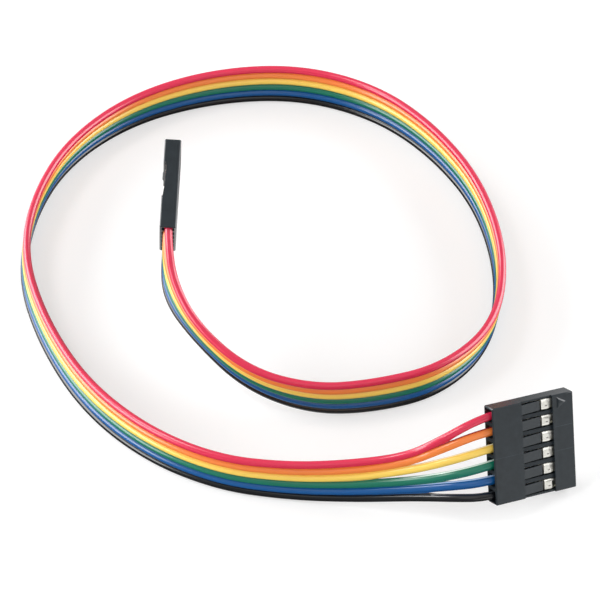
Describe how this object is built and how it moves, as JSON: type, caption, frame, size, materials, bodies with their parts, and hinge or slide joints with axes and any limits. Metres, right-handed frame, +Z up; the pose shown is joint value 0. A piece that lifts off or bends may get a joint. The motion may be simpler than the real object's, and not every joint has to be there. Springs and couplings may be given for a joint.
{
  "type": "ribbon jumper cable",
  "caption": "Rainbow ribbon jumper cable standing on edge in a loose coil, with a single-row crimp housing of female contacts at each end.",
  "frame": {"origin": "on the floor, in the middle of the area that the coiled cable covers", "axes": "+Z up from the floor, +Y to the back of the coil, +X towards the side where the outer housing lies"},
  "size_m": [0.0864, 0.0949, 0.0309],
  "materials": {
    "housing": "satin moulded",
    "contact": "bright tin plate",
    "strands": "tinned copper strands",
    "insulation_black": "satin-gloss extruded",
    "insulation_blue": "satin-gloss extruded",
    "insulation_green": "satin-gloss extruded",
    "insulation_yellow": "satin-gloss extruded",
    "insulation_orange": "satin-gloss extruded",
    "insulation_red": "satin-gloss extruded"
  },
  "bodies": {
    "root": {"outer_housing": "housing", "inner_housing": "housing", "outer_contact_black": "contact", "outer_contact_blue": "contact", "outer_contact_green": "contact", "outer_contact_yellow": "contact", "outer_contact_orange": "contact", "outer_contact_red": "contact", "inner_contact_black": "contact", "inner_contact_blue": "contact", "inner_contact_green": "contact", "inner_contact_yellow": "contact", "inner_contact_orange": "contact", "inner_contact_red": "contact", "wire_black": "insulation_black", "wire_blue": "insulation_blue", "wire_green": "insulation_green", "wire_yellow": "insulation_yellow", "wire_orange": "insulation_orange", "wire_red": "insulation_red", "strands_black": "strands", "strands_blue": "strands", "strands_green": "strands", "strands_yellow": "strands", "strands_orange": "strands", "strands_red": "strands"}
  },
  "joints": []
}
